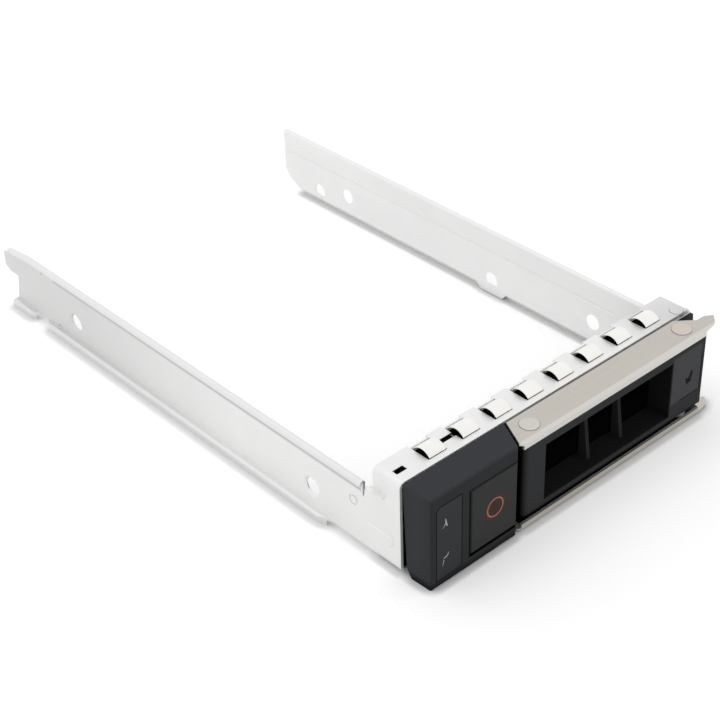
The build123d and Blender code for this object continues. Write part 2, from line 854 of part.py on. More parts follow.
# Latch: a sliding plate with a sloped window that the wedge of the button works in
cam_left = stem_left - button_wall - 0.8 - running * sqrt(2)
with BuildPart() as latch_slider:
    with BuildSketch(floor.offset(latch_middle - latch_height / 2)):
        with BuildLine():
            Polyline(
                (latch_left, latch_front),
                (bezel_flank(latch_front) + 0.1, latch_front),
                (latch_tip, latch_front + latch_thick - 0.6),
                (latch_tip, latch_front + latch_thick),
                (latch_left, latch_front + latch_thick),
                close=True,
            )
        make_face()
    extrude(amount=latch_height)
    with BuildSketch(floor.offset(latch_middle - stem_height / 2 - running)):
        with BuildLine():
            Polyline(
                (cam_left + latch_front - 1, latch_front - 1),
                (stem_right + button_travel + running, latch_front - 1),
                (stem_right + button_travel + running, latch_front + latch_thick + 1),
                (cam_left + latch_front + latch_thick + 1, latch_front + latch_thick + 1),
                close=True,
            )
        make_face()
    extrude(amount=stem_height + 2 * running, mode=Mode.SUBTRACT)
latch_slider.part.label = "latch_slider"

# Springs of the button and the latch
button_seat = bulkhead_front + 0.5
button_spring = coil(
    (ring_place[0] - mid_x, button_wall + spring_wire / 2 + 0.1 - mid_y, button_spring_height),
    (0, 1, 0),
    spring_radius,
    spring_wire,
    button_spring_turns,
    button_seat - button_wall - spring_wire - 0.2,
)
button_spring.label = "button_spring"
latch_seat = seat_x + seat_thick / 2
latch_spring = coil(
    (latch_seat + spring_wire / 2 + 0.1 - mid_x, latch_front + latch_thick / 2 - mid_y, latch_middle),
    (1, 0, 0),
    spring_radius,
    spring_wire,
    latch_spring_turns,
    latch_left - latch_seat - spring_wire - 0.2,
)
latch_spring.label = "latch_spring"

# Handle plates: the same folded plate above and below, with a claw at the pivot end
lip_start = handle_flank(lip_corner) + lip_corner
swing_radius = cage_front - running - pivot_y
corner_x = pivot_x + sqrt(swing_radius**2 - (handle_rear - pivot_y) ** 2)
with BuildPart() as handle_top_plate:
    with BuildSketch(floor.offset(handle_top - plate)):
        with BuildLine():
            Polyline(
                (handle_flank(handle_rear), handle_rear),
                (handle_flank(lip_corner), lip_corner),
                (lip_start, 0),
                (lip_end, 0),
                (claw_reach - claw_width, plate),
                (claw_reach, claw_depth),
                (claw_reach - claw_width, pivot_y),
                (pivot_x + claw_root, pivot_y),
                (corner_x, handle_rear),
                close=True,
            )
        make_face()
    extrude(amount=plate)
    with BuildSketch(floor.offset(handle_top - lip)):
        with Locations((lip_start, 0)):
            Rectangle(lip_end - lip_start, plate, align=(Align.MIN, Align.MIN))
    extrude(amount=lip)
    fold = handle_top_plate.edges().filter_by(Axis.X).group_by(Axis.Y)[0].sort_by(Axis.Z)[-1]
    fillet(fold, plate * 0.8)
    with BuildSketch(floor.offset(handle_top - plate)):
        with Locations((pivot_x, pivot_y)):
            Circle(pin_size / 2)
        with Locations(rivet_place):
            Circle(rivet_size / 2)
    extrude(amount=plate, mode=Mode.SUBTRACT)
    with BuildSketch(floor.offset(handle_top)):
        with Locations((pivot_x, pivot_y)):
            Circle(pin_head / 2 + pin_fit)
        with Locations(rivet_place):
            Circle(rivet_head / 2 + pin_fit)
    extrude(amount=-head_thick, mode=Mode.SUBTRACT)
handle_middle = (handle_top + handle_bottom) / 2
handle_bottom_plate = mirror(handle_top_plate.part, about=floor.offset(handle_middle))
handle_top_plate.part.label = "handle_top_plate"
handle_bottom_plate.label = "handle_bottom_plate"

# Handle body: a moulding between the plates, open in the middle, with two sloping braces
body_base = handle_bottom + plate
body_top = handle_top - plate
with BuildPart() as handle_body:
    with BuildSketch(floor.offset(body_base)):
        with BuildLine():
            Polyline(
                (handle_flank(handle_rear) + 0.5, handle_rear),
                (handle_flank(body_front) + 0.5, body_front),
                (body_right, body_front),
                (body_right - 0.4, pivot_y),
                (corner_x - 0.3, handle_rear),
                close=True,
            )
        make_face()
    extrude(amount=body_top - body_base)
    fillet(handle_body.edges().filter_by(Axis.Z).group_by(Axis.X)[0], body_round)
    with BuildSketch(face):
        with Locations((opening_left, opening_bottom)):
            Rectangle(
                opening_right - opening_left, opening_top - opening_bottom, align=(Align.MIN, Align.MIN)
            )
    extrude(amount=-handle_rear - 1, mode=Mode.SUBTRACT)
    for brace_x in brace_places:
        with BuildSketch(side.offset(brace_x - brace / 2)):
            with BuildLine():
                Polyline(
                    (brace_low, opening_bottom - 0.2),
                    (handle_rear, opening_bottom - 0.2),
                    (handle_rear, opening_top + 0.2),
                    (brace_high, opening_top + 0.2),
                    close=True,
                )
            make_face()
        extrude(amount=brace)

    # Ledges fill the room behind the lips of the plates
    for ledge_base in (body_base, body_top - lip + plate):
        with BuildSketch(floor.offset(ledge_base)):
            with Locations((lip_start + body_round, plate)):
                Rectangle(
                    pivot_x - lug_radius - running - lip_start - body_round,
                    body_front - plate + 0.2,
                    align=(Align.MIN, Align.MIN),
                )
        extrude(amount=lip - plate)

    # Clearance for the lugs, the pin, the rivet and the return spring
    for base, height in ((top_lug - running, 3), (low_lug + sheet + running, -3)):
        with BuildSketch(floor.offset(base)):
            with Locations((pivot_x - lug_radius - running, body_front - 1)):
                Rectangle(body_right - pivot_x + 2 * lug_radius, handle_rear, align=(Align.MIN, Align.MIN))
        extrude(amount=height, mode=Mode.SUBTRACT)
    with BuildSketch(floor):
        with Locations((pivot_x, pivot_y)):
            Circle(pin_size / 2)
        with Locations(rivet_place):
            Circle(rivet_size / 2)
    extrude(amount=handle_top, mode=Mode.SUBTRACT)
    torsion_length = torsion_turns * torsion_wire * 1.5
    torsion_base = handle_middle - torsion_length / 2
    with BuildSketch(floor.offset(torsion_base - torsion_wire)):
        with Locations((pivot_x, pivot_y)):
            Circle(torsion_radius + torsion_wire / 2 + running)
        with Locations((pivot_x + torsion_radius - 0.6, pivot_y)):
            Rectangle(1.2, handle_rear, align=(Align.MIN, Align.MIN))
    extrude(amount=torsion_length + 2 * torsion_wire, mode=Mode.SUBTRACT)

    # Shallow groove round the pivot end of the front face
    with BuildSketch(face.offset(-body_front)):
        with Locations((body_right - panel_border, panel_bottom)):
            Rectangle(panel_line, panel_size[1], align=(Align.CENTER, Align.MIN))
            Rectangle(panel_size[0], panel_line, align=(Align.MAX, Align.CENTER))
    extrude(amount=-panel_line, mode=Mode.SUBTRACT)
handle_body.part.label = "handle_body"

# Rivet at the free end of the handle, pivot pin and return spring
with BuildPart() as handle_rivet:
    with BuildSketch(floor.offset(handle_bottom)):
        with Locations(rivet_place):
            Circle(rivet_size / 2)
    extrude(amount=handle_top - handle_bottom)
    for head_base in (handle_bottom - head_proud, handle_top - head_thick):
        with BuildSketch(floor.offset(head_base)):
            with Locations(rivet_place):
                Circle(rivet_head / 2)
        extrude(amount=head_thick + head_proud)
handle_rivet.part.label = "handle_rivet"

with BuildPart() as pivot_pin:
    with BuildSketch(floor.offset(handle_bottom)):
        with Locations((pivot_x, pivot_y)):
            Circle(pin_size / 2)
    extrude(amount=handle_top - handle_bottom)
    for head_base, proud in ((handle_bottom - head_proud, head_proud), (handle_top - head_thick, pin_proud)):
        with BuildSketch(floor.offset(head_base)):
            with Locations((pivot_x, pivot_y)):
                Circle(pin_head / 2)
        extrude(amount=head_thick + proud)
    chamfer(pivot_pin.edges().group_by(Axis.Z)[-1], pin_proud / 2)
pivot_pin.part.label = "pivot_pin"

handle_spring = coil(
    (pivot_x - mid_x, pivot_y - mid_y, torsion_base),
    (0, 0, 1),
    torsion_radius,
    torsion_wire,
    torsion_turns,
    torsion_length,
)
handle_spring.label = "handle_spring"

# One file for each piece
pieces = [
    carrier_frame.part,
    spring_strip.part,
    front_frame.part,
    frame_rivet.part,
    bezel_housing.part,
    status_window.part,
    *light_pipes,
    release_button.part,
    button_ring.part,
    latch_slider.part,
    button_spring,
    latch_spring,
    handle_body.part,
    handle_top_plate.part,
    handle_bottom_plate,
    handle_rivet.part,
    pivot_pin.part,
    handle_spring,
]
for piece in pieces:
    export_step(piece, f"parts/{piece.label}.step")
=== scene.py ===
"""Drive bay carrier on a white studio floor.

It has a sheet-metal cage with side rails, a charcoal bezel with a release button, and a satin latch handle.
"""

import math

import bmesh
import bpy
from mathutils import Matrix, Vector


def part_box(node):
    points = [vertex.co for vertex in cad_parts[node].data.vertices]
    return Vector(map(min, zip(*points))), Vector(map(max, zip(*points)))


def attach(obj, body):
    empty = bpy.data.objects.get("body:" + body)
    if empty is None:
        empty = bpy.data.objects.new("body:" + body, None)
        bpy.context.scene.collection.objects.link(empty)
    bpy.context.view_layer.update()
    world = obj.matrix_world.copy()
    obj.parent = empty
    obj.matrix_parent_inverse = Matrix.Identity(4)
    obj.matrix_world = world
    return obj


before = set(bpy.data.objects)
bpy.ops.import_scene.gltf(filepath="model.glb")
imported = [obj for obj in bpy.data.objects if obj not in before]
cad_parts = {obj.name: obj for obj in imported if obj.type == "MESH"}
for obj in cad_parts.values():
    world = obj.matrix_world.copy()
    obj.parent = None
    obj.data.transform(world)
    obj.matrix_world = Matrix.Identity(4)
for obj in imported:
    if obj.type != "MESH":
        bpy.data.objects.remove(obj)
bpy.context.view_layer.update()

MM = 0.001

# The near-black of painted shade that many patches share, and the bump heights of the finishes
PAINTED_SHADE_BLACK = (0.002, 0.002, 0.002)
MOULDED_GRAIN = 0.04 * MM
ZINC_GRAIN = 0.02 * MM
FINE_GRAIN = 0.01 * MM

# Edges: vertices this near are joined, and edges sharper than an angle are broken by a width in millimetres
WELD_DISTANCE = 0.001 * MM
USUAL_EDGE = 0.03
SHARP_ANGLE = math.radians(32)

# Height of printed ink, in millimetres
PRINT_HEIGHT = 0.02

# The floor, in metres: half its width, and the distances between which its glow rises
FLOOR_REACH = 3.0
GLOW_NEAR = 0.25
GLOW_FAR = 1.2

# How near to a contact the glow of the floor fades into a painted contact shadow, and how steeply
CONTACT_REACH = 2.5 * MM
CONTACT_POWER = 6.0


# Where things lie on the carrier, read from the frame

def vectors(box):
    """The low and the high corner of a box, as vectors."""
    return [Vector(corner) for corner in box]


window_low, window_high = vectors(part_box("status_window"))
ring_low, ring_high = vectors(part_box("button_ring"))
body_low, body_high = vectors(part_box("handle_body"))
upper_pipe = sum(vectors(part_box("light_pipe_upper")), Vector()) / 2
lower_pipe = sum(vectors(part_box("light_pipe_lower")), Vector()) / 2
bezel_low, bezel_high = vectors(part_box("bezel_housing"))
button_low, button_high = vectors(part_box("release_button"))
strip_low = vectors(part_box("spring_strip"))[0]
plate_low, plate_high = vectors(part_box("handle_top_plate"))
sill_low, sill_high = vectors(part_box("handle_bottom_plate"))
frame_low, frame_high = vectors(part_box("carrier_frame"))

ring_centre = (ring_low + ring_high) / 2
ring_radius = (ring_high.x - ring_low.x) / 2
cage_top = strip_low.z + 1.0 * MM
block_front = body_low.y + 0.6 * MM

# Along the left rail: where its hook and its foot begin, and the two ends of the part darkened by painted
# shade
hook_start = -67.0 * MM
foot_start = -56.0 * MM
rear_shade_start = 15 * MM
rear_shade_end = 150 * MM

# The opening of the handle, between its column at the left and its block at the right
opening_left = body_high.x - 60.65 * MM
opening_right = body_high.x - 12.75 * MM
opening_foot = body_low.z + 2.75 * MM
opening_head = body_low.z + 19.95 * MM
brace_places = (body_high.x - 40.3 * MM, body_high.x - 27.8 * MM)
brace_half = 0.65 * MM


# Boxes that take a patch of painted light or shade, each from its low corner to its high corner

# How far most patches reach past the faces that they cover
past = 0.5 * MM

# Painted shade in the holes of the cage: the side slot beside the second finger, which shows the strip below
# it, and the snap hole
hole_floor = strip_low.z - 1.0 * MM
hole_top = cage_top - 0.15 * MM
side_slot_shade = (
    Vector((strip_low.x + 7.3 * MM, strip_low.y + 2.9 * MM, hole_floor)),
    Vector((strip_low.x + 12.0 * MM, strip_low.y + 4.7 * MM, hole_top)),
)
snap_hole_shade = (
    Vector((strip_low.x - 7.0 * MM, strip_low.y + 1.8 * MM, hole_floor)),
    Vector((strip_low.x - 3.4 * MM, strip_low.y + 3.8 * MM, hole_top)),
)

# Painted shade on the zinc sheet: darker at the rear of the left rail, on its hook and foot, in the corner
# under the hook, and at the cage's right end
left_rear_shade = (
    Vector((frame_low.x - 50 * MM, rear_shade_start, -50 * MM)),
    Vector((frame_low.x + 34 * MM, rear_shade_end, 80 * MM)),
)
left_hook_shade = (
    Vector((frame_low.x - 1.0 * MM, hook_start, 19.0 * MM)),
    Vector((frame_low.x + 2.4 * MM, frame_high.y + 1.0 * MM, 22.0 * MM)),
)
left_foot_shade = (
    Vector((frame_low.x - 1.0 * MM, foot_start, -1.0 * MM)),
    Vector((frame_low.x + 2.4 * MM, frame_high.y + 1.0 * MM, 2.2 * MM)),
)
under_hook_shadow = (
    Vector((frame_low.x + 0.9 * MM, hook_start + 0.5 * MM, 17.6 * MM)),
    Vector((frame_low.x + 2.3 * MM, frame_high.y - 26.0 * MM, 19.6 * MM)),
)
cage_right_shade = (
    Vector((frame_high.x - 14.0 * MM, frame_low.y - 40.0 * MM, cage_top - 13.0 * MM)),
    Vector((frame_high.x + 40.0 * MM, frame_low.y + 15.0 * MM, cage_top + 40.0 * MM)),
)

# Painted shade on the cage in the gap behind the top plate of the handle
plate_gap_shade = (
    Vector((plate_low.x - past, plate_low.y, hole_floor)),
    Vector((plate_high.x + past, plate_high.y + 0.3 * MM, cage_top + 0.5 * MM)),
)

# Painted shade where little light reaches: the hole for the button and the rim round it, the sides of the
# button and the pocket of the window
button_hole_shade = (
    Vector((button_low.x - 0.6 * MM, button_low.y + 0.35 * MM, button_low.z - 0.6 * MM)),
    Vector((bezel_high.x + 1.0 * MM, bezel_high.y, button_high.z + 0.6 * MM)),
)
button_rim_shade = (
    Vector((button_low.x - 0.8 * MM, bezel_low.y - past, button_low.z - 0.7 * MM)),
    Vector((button_high.x + 0.3 * MM, bezel_high.y, button_high.z + 0.5 * MM)),
)
button_side_shade = (
    Vector((button_low.x - past, button_low.y + 0.35 * MM, button_low.z - past)),
    Vector((button_high.x + past, button_high.y + past, button_high.z + past)),
)
window_pocket_shade = (
    Vector((window_low.x - 0.35 * MM, window_low.y + 0.2 * MM, window_low.z - 0.35 * MM)),
    Vector((window_high.x + 0.35 * MM, window_high.y + 0.5 * MM, window_high.z + 0.35 * MM)),
)

# Painted light and shade on the bezel: paler on its left cheek and its top, darker at its foot, and dark on
# the side by the handle
bezel_cheek_light = (
    Vector((bezel_low.x - past, bezel_low.y - past, bezel_low.z + 1.0 * MM)),
    Vector((bezel_low.x + 0.4 * MM, bezel_high.y, bezel_high.z + past)),
)
bezel_crown_light = (
    Vector((bezel_low.x - past, bezel_low.y - past, bezel_high.z - 0.4 * MM)),
    Vector((bezel_high.x + past, bezel_high.y, bezel_high.z + past)),
)
bezel_foot_shade = (
    Vector((bezel_low.x - past, bezel_low.y - past, bezel_low.z - past)),
    Vector((bezel_high.x + past, bezel_high.y, bezel_low.z + 1.6 * MM)),
)
bezel_flank_shade = (
    Vector((button_high.x - 0.2 * MM, bezel_low.y + 0.9 * MM, bezel_low.z + 0.6 * MM)),
    Vector((bezel_high.x + past, bezel_high.y, bezel_high.z - 0.6 * MM)),
)

# Painted shade on the handle inside its opening and groove, on its ledge and its flank, and on its braces,
# which are paler than the opening; painted light on its panel
handle_opening_shade = (
    Vector((opening_left, block_front + 0.35 * MM, opening_foot)),
    Vector((opening_right, body_high.y + past, opening_head)),
)
brace_front_shades = [
    (
        Vector((place - brace_half, block_front + 3.1 * MM, body_low.z)),
        Vector((place + brace_half, block_front + 6.4 * MM, body_high.z)),
    )
    for place in brace_places
]
handle_panel_light = (
    Vector((body_high.x - 12.7 * MM, block_front - past, body_low.z + 6.4 * MM)),
    Vector((body_high.x - 1.2 * MM, block_front + past, body_low.z + 21.0 * MM)),
)
panel_groove_shade = (
    Vector((body_high.x - 9.0 * MM, block_front + 0.2 * MM, body_low.z + 6.0 * MM)),
    Vector((body_high.x - 0.8 * MM, block_front + 0.6 * MM, body_low.z + 18.2 * MM)),
)
handle_ledge_shade = (
    Vector((body_low.x - past, block_front - 1.0 * MM, body_low.z - past)),
    Vector((body_high.x + past, block_front + 1.0 * MM, body_low.z + 1.6 * MM)),
)
handle_flank_shade = (
    Vector((body_low.x - past, block_front + past, body_low.z - past)),
    Vector((body_low.x + 3.2 * MM, body_high.y + past, body_high.z + past)),
)

# Painted light on the top plate, a pale lip in front, and painted shade on the bottom plate under the handle
plate_lip_light = (
    Vector((plate_low.x - past, plate_low.y - past, plate_low.z - past)),
    Vector((plate_high.x + past, plate_low.y + 0.9 * MM, plate_high.z + past)),
)
sill_shade = (
    Vector((body_low.x - 0.3 * MM, sill_low.y + 1.5 * MM, body_low.z - 0.25 * MM)),
    Vector((body_high.x - 0.3 * MM, sill_high.y + past, body_low.z + 2.0 * MM)),
)


# Node helpers for the finishes

def adder(tree):
    """A function that adds a node to a tree, with values for its inputs and its settings."""

    def add(kind, **settings):
        node = tree.nodes.new(kind)
        for key, value in settings.items():
            if key in node.inputs:
                node.inputs[key].default_value = value
            else:
                setattr(node, key, value)
        return node

    return add


def new_finish(name):
    """A material with an empty principled surface, and a function that adds nodes to it."""
    material = bpy.data.materials.new(name)
    material.use_nodes = True
    tree = material.node_tree
    return material, tree.links, tree.nodes["Principled BSDF"], adder(tree)


def noise(links, add, stretch=(1, 1, 1), **settings):
    """A noise pattern in the piece's own coordinates, stretched along its axes."""
    texture = add("ShaderNodeTexNoise", **settings)
    coordinates = add("ShaderNodeTexCoord")
    mapping = add("ShaderNodeMapping", Scale=stretch)
    links.new(coordinates.outputs["Object"], mapping.inputs["Vector"])
    links.new(mapping.outputs["Vector"], texture.inputs["Vector"])
    return texture.outputs["Fac"]


def spread(links, add, source, low, high):
    """Maps a pattern, or any value from 0 to 1, to a range between two others."""
    ranged = add("ShaderNodeMapRange", **{"To Min": low, "To Max": high})
    links.new(source, ranged.inputs["Value"])
    return ranged.outputs["Result"]


def colour_mix(links, add, factor):
    """A mix of two colours by a factor: the sockets of both colours, and of what comes out."""
    mix = add("ShaderNodeMix", data_type="RGBA")
    links.new(factor, mix.inputs["Factor"])
    first, second = (socket for socket in mix.inputs if socket.type == "RGBA")
    mixed = next(socket for socket in mix.outputs if socket.type == "RGBA")
    return first, second, mixed


def blend_colours(links, add, source, dark, light):
    """A colour that runs from dark to light with a pattern."""
    first, second, mixed = colour_mix(links, add, source)
    first.default_value = (*dark, 1)
    second.default_value = (*light, 1)
    return mixed


def mix_in(links, add, factor, colour, over):
    """Lays a second colour over a linked one, by a factor."""
    first, second, mixed = colour_mix(links, add, factor)
    links.new(colour, first)
    second.default_value = (*over, 1)
    return mixed


def raise_surface(links, add, surface, source, height, strength):
    """A bump of a real height, in metres, from a pattern."""
    bump = add("ShaderNodeBump", Strength=strength, Distance=height)
    links.new(source, bump.inputs["Height"])
    links.new(bump.outputs["Normal"], surface.inputs["Normal"])


def lay_patch(low, high, patch=PAINTED_SHADE_BLACK, soft=0.1):
    """Colour work that lays a patch over a box, with an edge that is soft by a width in millimetres."""
    middle, half = (low + high) / 2, (high - low) / 2

    def lay(links, add, colour):
        coordinates = add("ShaderNodeTexCoord")
        centred = add("ShaderNodeVectorMath", operation="SUBTRACT")
        centred.inputs[1].default_value = middle
        folded = add("ShaderNodeVectorMath", operation="ABSOLUTE")
        beyond = add("ShaderNodeVectorMath", operation="SUBTRACT")
        beyond.inputs[1].default_value = half
        parts = add("ShaderNodeSeparateXYZ")
        across = add("ShaderNodeMath", operation="MAXIMUM")
        largest = add("ShaderNodeMath", operation="MAXIMUM")
        inside = add("ShaderNodeMapRange", **{"From Min": soft * MM, "From Max": -soft * MM})
        links.new(coordinates.outputs["Object"], centred.inputs[0])
        links.new(centred.outputs["Vector"], folded.inputs[0])
        links.new(folded.outputs["Vector"], beyond.inputs[0])
        links.new(beyond.outputs["Vector"], parts.inputs[0])
        links.new(parts.outputs["X"], across.inputs[0])
        links.new(parts.outputs["Y"], across.inputs[1])
        links.new(across.outputs["Value"], largest.inputs[0])
        links.new(parts.outputs["Z"], largest.inputs[1])
        links.new(largest.outputs["Value"], inside.inputs["Value"])
        return mix_in(links, add, inside.outputs["Result"], colour, patch)

    return lay


def ring_glow(links, add, colour):
    """Colour work that turns the button brown inside its orange ring and a little way round it."""
    spill_half = 0.8 * MM
    coordinates = add("ShaderNodeTexCoord")
    centred = add("ShaderNodeVectorMath", operation="SUBTRACT")
    centred.inputs[1].default_value = ring_centre
    flat = add("ShaderNodeVectorMath", operation="MULTIPLY")
    flat.inputs[1].default_value = (1, 0, 1)
    distance = add("ShaderNodeVectorMath", operation="LENGTH")
    spill = add("ShaderNodeMapRange", interpolation_type="SMOOTHSTEP")
    spill.inputs["From Min"].default_value = ring_radius + spill_half
    spill.inputs["From Max"].default_value = ring_radius - spill_half
    links.new(coordinates.outputs["Object"], centred.inputs[0])
    links.new(centred.outputs["Vector"], flat.inputs[0])
    links.new(flat.outputs["Vector"], distance.inputs[0])
    links.new(distance.outputs["Value"], spill.inputs["Value"])
    return mix_in(links, add, spill.outputs["Result"], colour, (0.036, 0.010, 0.007))


def lay_all(links, add, colour, work):
    """Lays colour work over a colour, one after another."""
    for lay in work:
        colour = lay(links, add, colour)
    return colour


# Finishes

def zinc_sheet():
    """Bright zinc plate: nearly white, with faint clouds, rolling lines and a little grain, and painted shade
    laid over it.
    """
    material, links, surface, add = new_finish("zinc_sheet")
    clouds = noise(links, add, Scale=90.0, Detail=3.0, Roughness=0.55)
    rolled = noise(links, add, (1, 0.03, 1), Scale=700.0, Detail=3.0)
    grain = noise(links, add, Scale=2600.0, Detail=2.0)
    colour = blend_colours(links, add, clouds, (0.85, 0.855, 0.85), (0.92, 0.92, 0.91))
    warmth = 0.995
    # Painted shade: darker tones over the rail's rear, hook and foot, under the hook and at the cage's right
    # end
    shade_tones = (
        (left_rear_shade, 0.73, 35),
        (left_hook_shade, 0.84, 0.5),
        (left_foot_shade, 0.82, 0.5),
        (under_hook_shadow, 0.58, 0.35),
        (cage_right_shade, 0.64, 12),
    )
    work = [lay_patch(*box, (tone, tone, tone * warmth), soft) for box, tone, soft in shade_tones]
    # Painted shade: black in the side slot, the snap hole and the gap behind the top plate
    work += [lay_patch(*box) for box in (side_slot_shade, snap_hole_shade, plate_gap_shade)]
    links.new(lay_all(links, add, colour, work), surface.inputs["Base Color"])
    links.new(spread(links, add, rolled, 0.4, 0.54), surface.inputs["Roughness"])
    surface.inputs["Metallic"].default_value = 0.65
    raise_surface(links, add, surface, grain, ZINC_GRAIN, 0.3)
    return material


def spring_steel():
    """Cream bright steel of the spring fingers and coils, with painted shade where the side slot shows them.
    """
    material, links, surface, add = new_finish("spring_steel")
    clouds = noise(links, add, Scale=260.0, Detail=2.0)
    colour = blend_colours(links, add, clouds, (0.88, 0.87, 0.84), (0.97, 0.96, 0.93))
    links.new(lay_patch(*side_slot_shade)(links, add, colour), surface.inputs["Base Color"])
    links.new(spread(links, add, clouds, 0.38, 0.52), surface.inputs["Roughness"])
    surface.inputs["Metallic"].default_value = 0.85
    return material


def satin_plate(name, dark, light, work=()):
    """Warm satin silver with a fine grain along the handle, and colour work over it where it is given."""
    material, links, surface, add = new_finish(name)
    strokes = noise(links, add, (0.02, 1, 1), Scale=900.0, Detail=4.0, Roughness=0.6)
    colour = blend_colours(links, add, strokes, dark, light)
    links.new(lay_all(links, add, colour, work), surface.inputs["Base Color"])
    links.new(spread(links, add, strokes, 0.34, 0.5), surface.inputs["Roughness"])
    surface.inputs["Metallic"].default_value = 0.85
    raise_surface(links, add, surface, strokes, FINE_GRAIN, 0.3)
    return material


def moulded_plastic(name, dark, light, rough=(0.5, 0.68), shine=0.25, height=MOULDED_GRAIN, work=()):
    """Moulded plastic with a fine spark texture, and colour work over it where it is given."""
    material, links, surface, add = new_finish(name)
    grain = noise(links, add, Scale=2200.0, Detail=3.0, Roughness=0.6)
    clouds = noise(links, add, Scale=70.0, Detail=2.0)
    colour = blend_colours(links, add, clouds, dark, light)
    links.new(lay_all(links, add, colour, work), surface.inputs["Base Color"])
    links.new(spread(links, add, grain, *rough), surface.inputs["Roughness"])
    surface.inputs["Specular IOR Level"].default_value = shine
    raise_surface(links, add, surface, grain, height, 0.4)
    return material


def clear_plastic():
    """Polished clear plastic of the light pipes."""
    material, links, surface, add = new_finish("clear_plastic")
    streaks = noise(links, add, (1, 0.1, 1), Scale=500.0)
    links.new(spread(links, add, streaks, 0.04, 0.12), surface.inputs["Roughness"])
    surface.inputs["Base Color"].default_value = (0.86, 0.89, 0.9, 1)
    surface.inputs["Transmission Weight"].default_value = 0.9
    surface.inputs["IOR"].default_value = 1.49
    return material


finishes = {
    "zinc": zinc_sheet(),
    "spring": spring_steel(),
    # Painted light on the lip of the top plate
    "plate": satin_plate(
        "satin_plate",
        (0.515, 0.49, 0.445),
        (0.62, 0.593, 0.546),
        work=[lay_patch(*plate_lip_light, (0.67, 0.655, 0.625), 0.15)],
    ),
    # A copy of the satin plate whose tone is set for the light on the bottom plate, painted light, with
    # painted shade under the handle
    "low_plate_painted_light": satin_plate(
        "low_plate_painted_light",
        (0.53, 0.505, 0.465),
        (0.64, 0.61, 0.565),
        work=[lay_patch(*sill_shade, (0.01, 0.01, 0.01), 0.1)],
    ),
    "rivet": satin_plate("rivet_steel", (0.59, 0.565, 0.53), (0.69, 0.665, 0.62)),
    "pin": satin_plate("pin_steel", (0.60, 0.535, 0.49), (0.70, 0.63, 0.58)),
    # Painted light on its cheek and crown, painted shade at its foot, round the button, in the window's
    # pocket and on its flank
    "bezel": moulded_plastic(
        "bezel_moulding",
        (0.029, 0.0305, 0.033),
        (0.034, 0.0355, 0.0385),
        shine=0.05,
        work=[lay_patch(*box, (0.045, 0.047, 0.052), 0.2) for box in (bezel_cheek_light, bezel_crown_light)]
        + [lay_patch(*bezel_foot_shade, (0.011, 0.011, 0.012), 0.8)]
        + [lay_patch(*box) for box in (button_hole_shade, button_rim_shade, window_pocket_shade, bezel_flank_shade)],
    ),
    # Painted light on its panel, painted shade in its opening and groove, on its ledge and flank and on its
    # braces
    "handle": moulded_plastic(
        "handle_moulding",
        (0.047, 0.048, 0.050),
        (0.053, 0.054, 0.057),
        shine=0.005,
        work=[lay_patch(*handle_panel_light, (0.085, 0.086, 0.092), 0.3)]
        + [lay_patch(*handle_flank_shade, soft=0.5), lay_patch(*handle_ledge_shade, (0.003, 0.003, 0.003), 0.4)]
        + [lay_patch(*box) for box in (handle_opening_shade, panel_groove_shade)]
        + [lay_patch(*box, (0.034, 0.034, 0.037)) for box in brace_front_shades],
    ),
    # Painted shade on the sides of the button
    "button": moulded_plastic(
        "button_plastic",
        (0.0155, 0.0162, 0.016),
        (0.0205, 0.0212, 0.021),
        rough=(0.42, 0.6),
        shine=0.18,
        work=[ring_glow, lay_patch(*button_side_shade)],
    ),
    "black": moulded_plastic("black_moulding", (0.001, 0.001, 0.0012), (0.002, 0.002, 0.0023), shine=0.03),
    "window": moulded_plastic(
        "window_plastic",
        (0.0165, 0.0175, 0.022),
        (0.0215, 0.0225, 0.027),
        rough=(0.4, 0.5),
        shine=0.16,
        height=FINE_GRAIN,
    ),
    "amber": moulded_plastic("amber_ring", (0.050, 0.018, 0.010), (0.065, 0.024, 0.013), height=FINE_GRAIN),
    "orange": moulded_plastic("orange_line", (0.33, 0.14, 0.08), (0.44, 0.20, 0.12), height=FINE_GRAIN),
    "pale": moulded_plastic("pale_print", (0.42, 0.43, 0.45), (0.55, 0.56, 0.58), height=FINE_GRAIN),
    "ink": moulded_plastic("dark_print", (0.003, 0.003, 0.004), (0.005, 0.005, 0.006), shine=0.05),
    "clear": clear_plastic(),
}

node_finish = {
    "carrier_frame": "zinc",
    "spring_strip": "spring",
    "front_frame": "black",
    "frame_rivet": "zinc",
    "bezel_housing": "bezel",
    "status_window": "window",
    "light_pipe_upper": "clear",
    "light_pipe_lower": "clear",
    "release_button": "button",
    "button_ring": "amber",
    "latch_slider": "black",
    "button_spring": "spring",
    "latch_spring": "spring",
    "handle_body": "handle",
    "handle_top_plate": "plate",
    "handle_bottom_plate": "low_plate_painted_light",
    "handle_rivet": "rivet",
    "pivot_pin": "pin",
    "handle_spring": "spring",
}

# Width of the broken edge of each piece that isn't as usual, in millimetres
node_edge = {
    "carrier_frame": 0.06,
    "spring_strip": 0.04,
    "front_frame": 0.15,
    "bezel_housing": 0.12,
    "status_window": 0.1,
    "release_button": 0.1,
    "latch_slider": 0.15,
    "handle_body": 0.2,
    "handle_top_plate": 0.12,
    "handle_bottom_plate": 0.12,
    "handle_rivet": 0.05,
}


